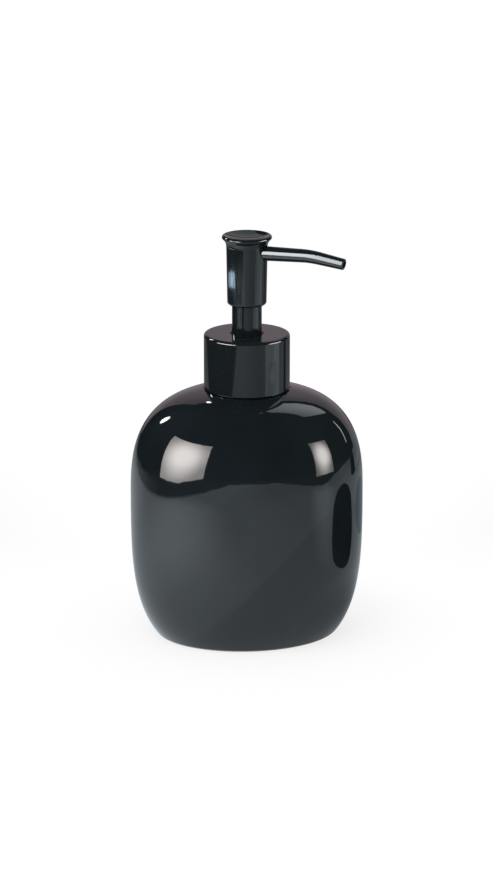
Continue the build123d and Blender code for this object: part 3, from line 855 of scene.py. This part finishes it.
def sheet_glow(card: Card) -> bpy.types.Material:
    """Glow of a studio sheet, a painted highlight or reflection, which what doesn't mirror it sees
    through.

    Args:
        card: The sheet.

    Returns:
        The material.
    """
    made = empty_material(card.name)
    place = add_node(made, "ShaderNodeTexCoord").outputs["UV"]
    centred = add_node(made, "ShaderNodeVectorMath", {0: place}, {1: (0.5, card.middle, 0.0)},
                       operation="SUBTRACT")
    reach = add_node(made, "ShaderNodeVectorMath", {0: centred.outputs[0]}, operation="LENGTH")
    glow = add_node(made, "ShaderNodeMapRange", {"Value": reach.outputs["Value"]},
                    {"From Min": FADE_FROM, "From Max": FADE_TO, "To Min": card.strength,
                     "To Max": card.strength * (1 - card.edge_fade)}, interpolation_type="SMOOTHSTEP")
    across = add_node(made, "ShaderNodeSeparateXYZ", {"Vector": place}).outputs["X"]
    lean = add_node(made, "ShaderNodeMapRange", {"Value": across}, {"To Min": card.left_share})
    level = add_node(made, "ShaderNodeMath", {0: glow.outputs["Result"], 1: lean.outputs["Result"]},
                     operation="MULTIPLY")
    light = add_node(made, "ShaderNodeEmission", {"Strength": level.outputs[0]},
                     {"Color": linear(card.colour)})
    clear = add_node(made, "ShaderNodeBsdfTransparent")
    both = add_node(made, "ShaderNodeAddShader", {0: light.outputs[0], 1: clear.outputs[0]})
    return finish_surface(made, both)


def only_reflected(piece: bpy.types.Object) -> None:
    """Keep a studio piece out of sight, except in reflections.

    Args:
        piece: Piece of the studio.
    """
    piece.visible_camera = False
    piece.visible_diffuse = False
    piece.visible_transmission = False
    piece.visible_volume_scatter = False
    piece.visible_shadow = False


@dataclass
class PaperFloor:
    """White paper on a table: plain white with the object's shadow to the eye, with painted light and
    shade in gloss.

    The fields named white and grey are for the eye, and two of them, white_behind and grey_beside,
    are cosines of the angle to straight behind the object. All from pool_spot on are for reflections,
    where light and share are brightnesses, and from and to are places between which these change.
    """

    radius: float = 6.0
    drop: float = 0.02 * MM
    colour: str = "#fbfbfb"
    tint_in_gloss: str = "#edf7ff"
    shadow_white: float = 0.76
    shadow_from: float = 0.03
    shadow_to: float = 0.10
    # Painted falloff of the paper's glow to the eye, from white to pale grey far off.
    white_shift: float = 0.10
    white_radius: float = 0.18
    grey_radius: float = 0.50
    grey_end: float = 1.0
    horizon_white: float = 2.4
    grey_beside: float = 0.70
    white_behind: float = 0.92
    far_white: float = 0.70
    # From here on: painted light and painted shade in the floor's glow that reflections show.
    pool_spot: Point = (-0.175, -0.085, 0.0)
    pool_radius: float = 0.20
    pool_light: float = 1.15
    left_from: float = -0.15
    left_light: float = 0.88
    right_to: float = 0.15
    right_light: float = 0.60
    back_to: float = 0.38
    back_share: float = 0.22
    # Painted round shade, with painted light raised around its rim.
    shade_spot: Point = (0.102, -0.007, 0.0)
    shade_radius: float = 0.131
    shade_blur: float = 0.003
    raise_share: float = 0.22
    raise_from: float = 0.20
    raise_to: float = 0.36
    raise_left_from: float = -0.07
    raise_left_to: float = -0.01
    # Painted contact shadow under the bottle.
    contact_spot: Point = (0.045, 0.008, 0.0)
    contact_share: float = 0.5
    contact_from: float = 0.016
    contact_to: float = 0.050
    paper_left: float = -0.275
    paper_right: float = 0.36
    paper_front: float = -1.10
    paper_back: float = 0.90
    widening: float = 0.60
    widens_from: float = -0.2
    edge_blur: float = 0.03
    table_share: float = 0.06

    def build(self) -> None:
        """Lay the paper under the object."""
        deselect_all()
        bpy.ops.mesh.primitive_circle_add(vertices=96, radius=self.radius, fill_type="NGON",
                                          location=(0.0, 0.0, -self.drop))
        floor = bpy.context.object
        floor.name = "paper_floor"
        bpy.ops.object.transform_apply(location=True, rotation=True, scale=True)
        floor.data.materials.append(self.material())

    def material(self) -> bpy.types.Material:
        """Paper as the eye, reflections and other light meet it.

        Returns:
            The material.
        """
        made = empty_material("white_paper")
        place = add_node(made, "ShaderNodeTexCoord").outputs["Object"]
        path = add_node(made, "ShaderNodeLightPath")
        lit = add_node(made, "ShaderNodeBsdfDiffuse", values={"Color": linear(self.colour)})
        white = add_node(made, "ShaderNodeEmission", {"Strength": self.white_to_eye(made, place)},
                         {"Color": linear("#ffffff")})
        reach = add_node(made, "ShaderNodeVectorMath", {0: place}, operation="LENGTH")
        far = add_node(made, "ShaderNodeMapRange", {"Value": reach.outputs["Value"]},
                       {"From Min": self.shadow_from, "From Max": self.shadow_to,
                        "To Min": self.shadow_white}, interpolation_type="SMOOTHSTEP")
        shown = add_node(made, "ShaderNodeMath",
                         {0: far.outputs["Result"], 1: path.outputs["Is Camera Ray"]},
                         operation="MULTIPLY")
        paper = add_node(made, "ShaderNodeMixShader",
                         {0: shown.outputs[0], 1: lit.outputs[0], 2: white.outputs[0]})
        mirrored = add_node(made, "ShaderNodeEmission", {"Strength": self.light_in_gloss(made, place)},
                            {"Color": linear(self.tint_in_gloss)})
        both = add_node(made, "ShaderNodeMixShader",
                        {0: path.outputs["Is Glossy Ray"], 1: paper.outputs[0], 2: mirrored.outputs[0]})
        return finish_surface(made, both)

    def white_to_eye(self, made: bpy.types.Material, place: Socket) -> Socket:
        """White of the paper to the eye: full in the photograph's view, pale grey far off elsewhere.

        Args:
            made: Material that takes the nodes.
            place: Output with the coordinates.

        Returns:
            Output with the brightness.
        """
        # The paper glows to the eye; its falloff from white to pale grey far off is painted.
        turn = math.radians(VIEW_AZIMUTH)
        towards = Vector((math.sin(turn), -math.cos(turn), 0.0))
        off = add_node(made, "ShaderNodeVectorMath", {0: place}, {1: towards * self.white_shift},
                       operation="DISTANCE")
        outer = add_node(made, "ShaderNodeMapRange", {"Value": off.outputs["Value"]},
                         {"From Min": self.white_radius, "From Max": self.grey_radius},
                         interpolation_type="SMOOTHSTEP")
        inner = add_node(made, "ShaderNodeMapRange", {"Value": off.outputs["Value"]},
                         {"From Min": self.horizon_white, "From Max": self.grey_end},
                         interpolation_type="SMOOTHSTEP")
        way = add_node(made, "ShaderNodeVectorMath", {0: place}, operation="NORMALIZE")
        behind = add_node(made, "ShaderNodeVectorMath", {0: way.outputs[0]}, {1: -towards},
                          operation="DOT_PRODUCT")
        aside = add_node(made, "ShaderNodeMapRange", {"Value": behind.outputs["Value"]},
                         {"From Min": self.white_behind, "From Max": self.grey_beside},
                         interpolation_type="SMOOTHSTEP")
        ring = add_node(made, "ShaderNodeMath",
                        {0: outer.outputs["Result"], 1: inner.outputs["Result"]}, operation="MULTIPLY")
        share = add_node(made, "ShaderNodeMath", {0: ring.outputs[0], 1: aside.outputs["Result"]},
                         operation="MULTIPLY")
        return add_node(made, "ShaderNodeMapRange", {"Value": share.outputs[0]},
                        {"To Min": 1.0, "To Max": self.far_white}).outputs["Result"]

    def light_in_gloss(self, made: bpy.types.Material, place: Socket) -> Socket:
        """Glow of the floor as reflections show it: painted lamp light, less its painted shade, and
        only on the paper.

        Args:
            made: Material that takes the nodes.
            place: Output with the coordinates.

        Returns:
            Output with the brightness.
        """
        along = add_node(made, "ShaderNodeSeparateXYZ", {"Vector": place})
        shaded = add_node(made, "ShaderNodeMath",
                          {0: self.painted_lamplight(made, place, along), 1: self.shades(made, place, along)},
                          operation="MULTIPLY")
        return add_node(made, "ShaderNodeMath",
                        {0: shaded.outputs[0], 1: self.share_on_paper(made, along)},
                        operation="MULTIPLY").outputs[0]

    def painted_lamplight(self, made: bpy.types.Material, place: Socket, along: bpy.types.Node) -> Socket:
        """Painted light on the paper: brightest in a painted pool on the left, less to the right and
        the back.

        Args:
            made: Material that takes the nodes.
            place: Output with the coordinates.
            along: Node with the coordinates one by one.

        Returns:
            Output with the brightness.
        """
        side = add_node(made, "ShaderNodeMapRange", {"Value": along.outputs["X"]},
                        {"From Min": self.left_from, "From Max": self.right_to,
                         "To Min": self.left_light, "To Max": self.right_light})
        # Painted pool of light on the left.
        to_pool = add_node(made, "ShaderNodeVectorMath", {0: place}, {1: self.pool_spot},
                           operation="DISTANCE")
        pool = add_node(made, "ShaderNodeMapRange", {"Value": to_pool.outputs["Value"]},
                        {"From Min": 0.0, "From Max": self.pool_radius,
                         "To Min": self.pool_light, "To Max": 0.0}, interpolation_type="SMOOTHSTEP")
        total = add_node(made, "ShaderNodeMath",
                         {0: side.outputs["Result"], 1: pool.outputs["Result"]}, operation="ADD")
        back = add_node(made, "ShaderNodeMapRange", {"Value": along.outputs["Y"]},
                        {"From Min": 0.0, "From Max": self.back_to,
                         "To Min": 1.0, "To Max": self.back_share})
        return add_node(made, "ShaderNodeMath", {0: total.outputs[0], 1: back.outputs["Result"]},
                        operation="MULTIPLY").outputs[0]

    def shades(self, made: bpy.types.Material, place: Socket, along: bpy.types.Node) -> Socket:
        """Painted round shade on the right, with painted light raised around it, and a painted contact
        shadow under the bottle.

        The rim of the painted shade is the slanting edge that shows low on the bottle.

        Args:
            made: Material that takes the nodes.
            place: Output with the coordinates.
            along: Node with the coordinates one by one.

        Returns:
            Output with the share of the light.
        """
        # Painted round shade, with painted light raised around its rim.
        to_shade = add_node(made, "ShaderNodeVectorMath", {0: place}, {1: self.shade_spot},
                            operation="DISTANCE")
        outside = add_node(made, "ShaderNodeMapRange", {"Value": to_shade.outputs["Value"]},
                           {"From Min": self.shade_radius - self.shade_blur,
                            "From Max": self.shade_radius + self.shade_blur})
        near = add_node(made, "ShaderNodeMapRange", {"Value": to_shade.outputs["Value"]},
                        {"From Min": self.raise_from, "From Max": self.raise_to,
                         "To Min": self.raise_share, "To Max": 0.0})
        front = add_node(made, "ShaderNodeMapRange", {"Value": along.outputs["X"]},
                         {"From Min": self.raise_left_from, "From Max": self.raise_left_to})
        gain = add_node(made, "ShaderNodeMath",
                        {0: outside.outputs["Result"], 1: near.outputs["Result"]},
                        operation="MULTIPLY")
        raised = add_node(made, "ShaderNodeMath", {0: gain.outputs[0], 1: front.outputs["Result"]},
                          {2: 1.0}, operation="MULTIPLY_ADD")
        # Painted contact shadow under the bottle.
        to_contact = add_node(made, "ShaderNodeVectorMath", {0: place}, {1: self.contact_spot},
                              operation="DISTANCE")
        contact = add_node(made, "ShaderNodeMapRange", {"Value": to_contact.outputs["Value"]},
                           {"From Min": self.contact_from, "From Max": self.contact_to,
                            "To Min": self.contact_share})
        return add_node(made, "ShaderNodeMath",
                        {0: raised.outputs[0], 1: contact.outputs["Result"]},
                        operation="MULTIPLY").outputs[0]

    def share_on_paper(self, made: bpy.types.Material, along: bpy.types.Node) -> Socket:
        """Full painted light on the paper, which is wider behind the object, and a little on the table
        beyond.

        Args:
            made: Material that takes the nodes.
            along: Node with the coordinates one by one.

        Returns:
            Output with the share of the light.
        """
        half_length = (self.paper_back - self.paper_front) / 2
        from_middle = add_node(made, "ShaderNodeMath", {0: along.outputs["Y"]},
                               {1: self.paper_front + half_length}, operation="SUBTRACT")
        away = add_node(made, "ShaderNodeMath", {0: from_middle.outputs[0]}, operation="ABSOLUTE")
        off_y = add_node(made, "ShaderNodeMath", {0: away.outputs[0]}, {1: half_length},
                         operation="SUBTRACT")
        right = add_node(made, "ShaderNodeMapRange", {"Value": along.outputs["Y"]},
                         {"From Min": self.widens_from, "From Max": 0.0, "To Min": self.paper_right,
                          "To Max": self.paper_right + self.widening})
        past_right = add_node(made, "ShaderNodeMath",
                              {0: along.outputs["X"], 1: right.outputs["Result"]},
                              operation="SUBTRACT")
        past_left = add_node(made, "ShaderNodeMath", {1: along.outputs["X"]}, {0: self.paper_left},
                             operation="SUBTRACT")
        off_x = add_node(made, "ShaderNodeMath", {0: past_left.outputs[0], 1: past_right.outputs[0]},
                         operation="MAXIMUM")
        off = add_node(made, "ShaderNodeMath", {0: off_x.outputs[0], 1: off_y.outputs[0]},
                       operation="MAXIMUM")
        return add_node(made, "ShaderNodeMapRange", {"Value": off.outputs[0]},
                        {"From Min": 0.0, "From Max": self.edge_blur,
                         "To Min": 1.0, "To Max": self.table_share}).outputs["Result"]


@dataclass
class Studio:
    """Dim room around the paper floor, with soft lights, and the camera."""

    elevation: float = 15.8
    distance: float = 1.5
    lens: float = 154.65
    sensor: float = 36.0
    aim: Point = (-0.00015, 0.0, 0.0776)
    view_depth: float = 20.0
    room_radius: float = 3.0
    ambient: float = 0.80
    key_power: float = 5.0
    key_size: tuple[float, float] = (0.9, 0.7)
    key_spot: Point = (-0.5, -0.4, 1.0)
    floor: PaperFloor = field(default_factory=PaperFloor)

    def build(self) -> None:
        """Set up the floor, the room, the lights and the camera."""
        self.floor.build()
        self.build_room()
        for card in CARDS:
            self.build_card(card)
        for flag in FLAGS:
            self.build_flag(flag)
        self.build_world()
        self.build_key()
        self.build_camera()

    def build_room(self) -> None:
        """Dark room all round, which only reflections show."""
        deselect_all()
        bpy.ops.mesh.primitive_ico_sphere_add(subdivisions=4, radius=self.room_radius)
        room = bpy.context.object
        room.name = "dim_room"
        room.data.materials.append(even_glow("dim_room", ROOM_COLOUR))
        only_reflected(room)

    def build_card(self, card: Card) -> None:
        """Shape one sheet to its place.

        Args:
            card: The sheet.
        """
        deselect_all()
        bpy.ops.mesh.primitive_grid_add(x_subdivisions=16, y_subdivisions=8, size=1.0)
        sheet = bpy.context.object
        sheet.name = card.name
        for corner in sheet.data.vertices:
            corner.co = card.spot(corner.co.x + 0.5, corner.co.y + 0.5)
        sheet.data.materials.append(sheet_glow(card))
        only_reflected(sheet)
        if card.mirror is not Mirror.ALL:
            mirrors = bpy.data.collections.new(f"{card.name}_mirrors")
            for node in card.mirror.value:
                mirrors.objects.link(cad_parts[node])
            sheet.light_linking.receiver_collection = mirrors

    def build_flag(self, flag: Flag) -> None:
        """Put up one dome.

        Args:
            flag: The dome.
        """
        deselect_all()
        bpy.ops.mesh.primitive_uv_sphere_add(segments=48, ring_count=24, radius=1.0, location=flag.spot)
        dome = bpy.context.object
        dome.name = flag.name
        dome.scale = flag.radii
        bpy.ops.object.transform_apply(location=True, rotation=True, scale=True)
        dome.data.materials.append(even_glow(flag.name, flag.colour))
        only_reflected(dome)

    def build_world(self) -> None:
        """Plain white surroundings, dimmer as a light than to the eye."""
        world = bpy.data.worlds.new("white_studio")
        world.use_nodes = True
        world.node_tree.nodes.clear()
        path = add_node(world, "ShaderNodeLightPath")
        seen = add_node(world, "ShaderNodeMath",
                        {0: path.outputs["Is Camera Ray"], 1: path.outputs["Is Glossy Ray"]},
                        operation="MAXIMUM")
        shown = add_node(world, "ShaderNodeMath",
                         {0: seen.outputs[0], 1: path.outputs["Is Transmission Ray"]},
                         operation="MAXIMUM")
        level = add_node(world, "ShaderNodeMapRange", {"Value": shown.outputs[0]},
                         {"To Min": self.ambient})
        sky = add_node(world, "ShaderNodeBackground", {"Strength": level.outputs["Result"]},
                       {"Color": linear("#ffffff")})
        add_node(world, "ShaderNodeOutputWorld", {"Surface": sky.outputs[0]})
        bpy.context.scene.world = world

    def build_key(self) -> None:
        """Large soft lamp above, to the left."""
        lamp = bpy.data.lights.new("overhead_softbox", "AREA")
        lamp.shape = "RECTANGLE"
        lamp.size = self.key_size[0]
        lamp.size_y = self.key_size[1]
        lamp.energy = self.key_power
        key = bpy.data.objects.new("overhead_softbox", lamp)
        key.location = self.key_spot
        key.rotation_euler = (-Vector(key.location)).to_track_quat("-Z", "Y").to_euler()
        key.visible_glossy = False
        key.visible_camera = False
        bpy.context.scene.collection.objects.link(key)

    def build_camera(self) -> None:
        """Camera at the photograph's viewing angle."""
        lens = bpy.data.cameras.new("photograph_view")
        lens.lens = self.lens
        lens.sensor_width = self.sensor
        lens.clip_end = self.view_depth
        camera = bpy.data.objects.new("photograph_view", lens)
        turn = math.radians(VIEW_AZIMUTH)
        rise = math.radians(self.elevation)
        level = math.cos(rise)
        back = Vector((math.sin(turn) * level, -math.cos(turn) * level, math.sin(rise)))
        camera.location = Vector(self.aim) + back * self.distance
        camera.rotation_euler = Euler((math.pi / 2 - rise, 0.0, turn))
        bpy.context.scene.collection.objects.link(camera)
        bpy.context.scene.camera = camera


def main() -> None:
    """Dress every sub-assembly and set up the studio."""
    logging.basicConfig(level=logging.INFO, format="%(name)s: %(message)s")
    bpy.context.scene.view_settings.view_transform = "Standard"
    BottleAssembly().build()
    CollarAssembly().build()
    PumpAssembly().build()
    HeadAssembly().build()
    Studio().build()


if __name__ == "__main__":
    main()
